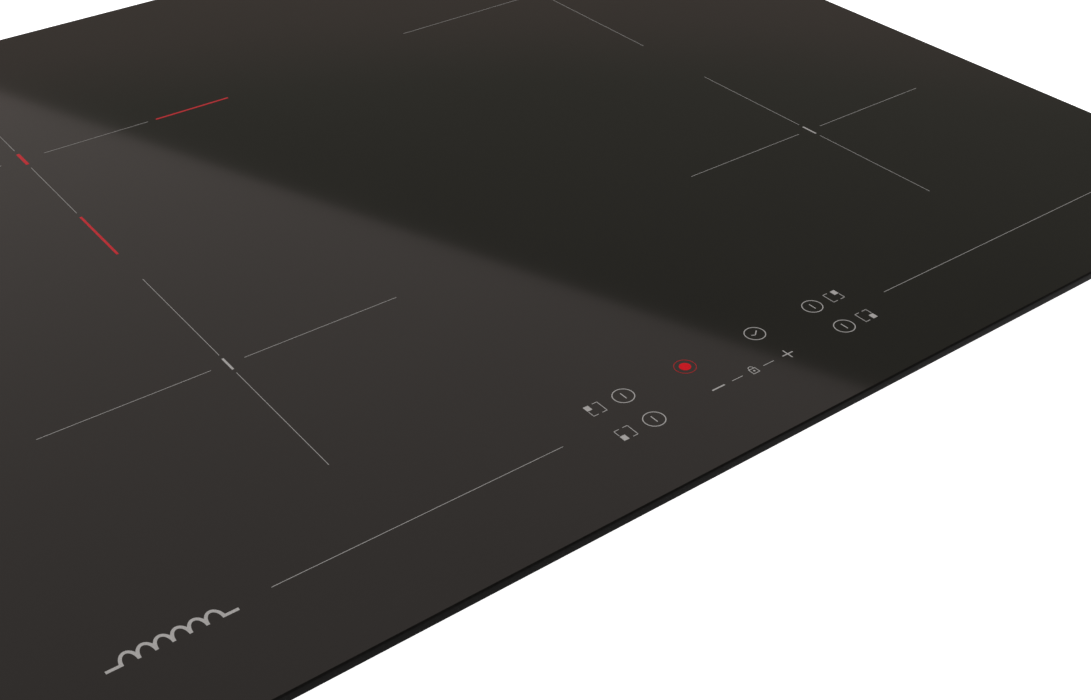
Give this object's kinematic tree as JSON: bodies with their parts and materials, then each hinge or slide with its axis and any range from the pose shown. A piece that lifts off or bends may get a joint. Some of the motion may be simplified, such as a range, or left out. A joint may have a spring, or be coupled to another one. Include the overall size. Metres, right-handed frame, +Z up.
{
  "type": "induction hob",
  "caption": "Built-in induction hob: black glass-ceramic top on a vented steel case with sprung coil decks, blowers, a hinged terminal cover and swing-out worktop clamps.",
  "frame": {"origin": "centre of the tray's underside, which is the lowest plane, below the middle of the glass", "axes": "+X to the user's right, +Y away from the user to the back edge, +Z up out of the glass"},
  "size_m": [0.59, 0.52, 0.058],
  "materials": {
    "black_glass": "polished black glass-ceramic with thin printed markings",
    "black_rubber": "matt black foam and rubber",
    "galvanised_steel": "galvanised sheet with a faint spangle",
    "zinc_screw": "zinc plated",
    "spring_steel": "dark spring strip",
    "black_plastic": "moulded, fine texture",
    "white_plastic": "moulded, off-white",
    "circuit_board": "green solder mask",
    "aluminium": "mill finish",
    "copper_litz": "varnished copper litz wire",
    "ferrite": "sintered, matt dark grey",
    "mica": "pressed mica sheet, pale",
    "silicone": "pale silicone",
    "light_guide": "red-tinted clear plastic"
  },
  "bodies": {
    "casing": {"base_tray": "galvanised_steel", "cable_bush": "black_rubber", "case_screw_front_left": "zinc_screw", "case_screw_front_right": "zinc_screw", "case_screw_rear_left": "zinc_screw", "case_screw_rear_right": "zinc_screw", "control_board": "circuit_board", "control_carrier": "black_plastic", "cross_rail_front": "galvanised_steel", "cross_rail_rear": "galvanised_steel", "electronics_tray": "black_plastic", "fan_housing_left": "black_plastic", "fan_housing_right": "black_plastic", "filter_board": "circuit_board", "glass_frame": "galvanised_steel", "glass_top": "black_glass", "heatsink_left": "aluminium", "heatsink_right": "aluminium", "leaf_spring_front_left": "spring_steel", "leaf_spring_front_right": "spring_steel", "leaf_spring_rear_left": "spring_steel", "leaf_spring_rear_right": "spring_steel", "perimeter_seal": "black_rubber", "power_board_left": "circuit_board", "power_board_right": "circuit_board", "power_light_guide": "light_guide", "ribbon_cable": "white_plastic", "terminal_block": "white_plastic"},
    "coil_deck_left": {"coil_plate_left": "aluminium", "mica_sheet_left": "mica", "coil_former_front_left": "white_plastic", "ferrites_front_left": "ferrite", "temperature_sensor_front_left": "silicone", "coil_former_rear_left": "white_plastic", "ferrites_rear_left": "ferrite", "temperature_sensor_rear_left": "silicone", "winding_front_left": "copper_litz", "winding_rear_left_inner": "copper_litz", "winding_rear_left_outer": "copper_litz"},
    "coil_deck_right": {"coil_plate_right": "aluminium", "mica_sheet_right": "mica", "coil_former_front_right": "white_plastic", "ferrites_front_right": "ferrite", "temperature_sensor_front_right": "silicone", "coil_former_rear_right": "white_plastic", "ferrites_rear_right": "ferrite", "temperature_sensor_rear_right": "silicone", "winding_front_right": "copper_litz", "winding_rear_right": "copper_litz"},
    "fan_left": {"fan_impeller_left": "white_plastic"},
    "fan_right": {"fan_impeller_right": "white_plastic"},
    "terminal_cover": {"terminal_cover": "black_plastic"},
    "clamp_screw_front_left": {"clamp_screw_front_left": "zinc_screw"},
    "clamp_arm_front_left": {"fixing_clamp_front_left": "spring_steel"},
    "clamp_screw_rear_left": {"clamp_screw_rear_left": "zinc_screw"},
    "clamp_arm_rear_left": {"fixing_clamp_rear_left": "spring_steel"},
    "clamp_screw_front_right": {"clamp_screw_front_right": "zinc_screw"},
    "clamp_arm_front_right": {"fixing_clamp_front_right": "spring_steel"},
    "clamp_screw_rear_right": {"clamp_screw_rear_right": "zinc_screw"},
    "clamp_arm_rear_right": {"fixing_clamp_rear_right": "spring_steel"}
  },
  "joints": [
    {"name": "coil_deck_left_spring", "type": "slide", "parent": "casing", "child": "coil_deck_left", "axis": [0, 0, 1], "range_m": [-0.003, 0], "stiffness_N_per_m": 8000, "springref_m": 0.004, "deforming": ["leaf_spring_front_left", "leaf_spring_rear_left"]},
    {"name": "coil_deck_right_spring", "type": "slide", "parent": "casing", "child": "coil_deck_right", "axis": [0, 0, 1], "range_m": [-0.003, 0], "stiffness_N_per_m": 8000, "springref_m": 0.004, "deforming": ["leaf_spring_front_right", "leaf_spring_rear_right"]},
    {"name": "fan_left_spin", "type": "hinge", "parent": "casing", "child": "fan_left", "pos_m": [-0.1625, -0.113, 0.0148], "axis": [0, 0, 1], "continuous": true},
    {"name": "fan_right_spin", "type": "hinge", "parent": "casing", "child": "fan_right", "pos_m": [0.1625, -0.113, 0.0148], "axis": [0, 0, 1], "continuous": true},
    {"name": "terminal_cover_hinge", "type": "hinge", "parent": "casing", "child": "terminal_cover", "pos_m": [0.182, 0.2432, 0.007], "axis": [-1, 0, 0], "range_deg": [0, 95]},
    {"name": "clamp_screw_front_left_rise", "type": "slide", "parent": "casing", "child": "clamp_screw_front_left", "axis": [0, 0, 1], "range_m": [0, 0.015]},
    {"name": "clamp_arm_front_left_swing", "type": "hinge", "parent": "clamp_screw_front_left", "child": "clamp_arm_front_left", "pos_m": [-0.2753, -0.15, 0.00805], "axis": [0, 0, 1], "range_deg": [0, 90]},
    {"name": "clamp_screw_rear_left_rise", "type": "slide", "parent": "casing", "child": "clamp_screw_rear_left", "axis": [0, 0, 1], "range_m": [0, 0.015]},
    {"name": "clamp_arm_rear_left_swing", "type": "hinge", "parent": "clamp_screw_rear_left", "child": "clamp_arm_rear_left", "pos_m": [-0.2753, 0.15, 0.00805], "axis": [0, 0, -1], "range_deg": [0, 90]},
    {"name": "clamp_screw_front_right_rise", "type": "slide", "parent": "casing", "child": "clamp_screw_front_right", "axis": [0, 0, 1], "range_m": [0, 0.015]},
    {"name": "clamp_arm_front_right_swing", "type": "hinge", "parent": "clamp_screw_front_right", "child": "clamp_arm_front_right", "pos_m": [0.2753, -0.15, 0.00805], "axis": [0, 0, -1], "range_deg": [0, 90]},
    {"name": "clamp_screw_rear_right_rise", "type": "slide", "parent": "casing", "child": "clamp_screw_rear_right", "axis": [0, 0, 1], "range_m": [0, 0.015]},
    {"name": "clamp_arm_rear_right_swing", "type": "hinge", "parent": "clamp_screw_rear_right", "child": "clamp_arm_rear_right", "pos_m": [0.2753, 0.15, 0.00805], "axis": [0, 0, 1], "range_deg": [0, 90]}
  ]
}
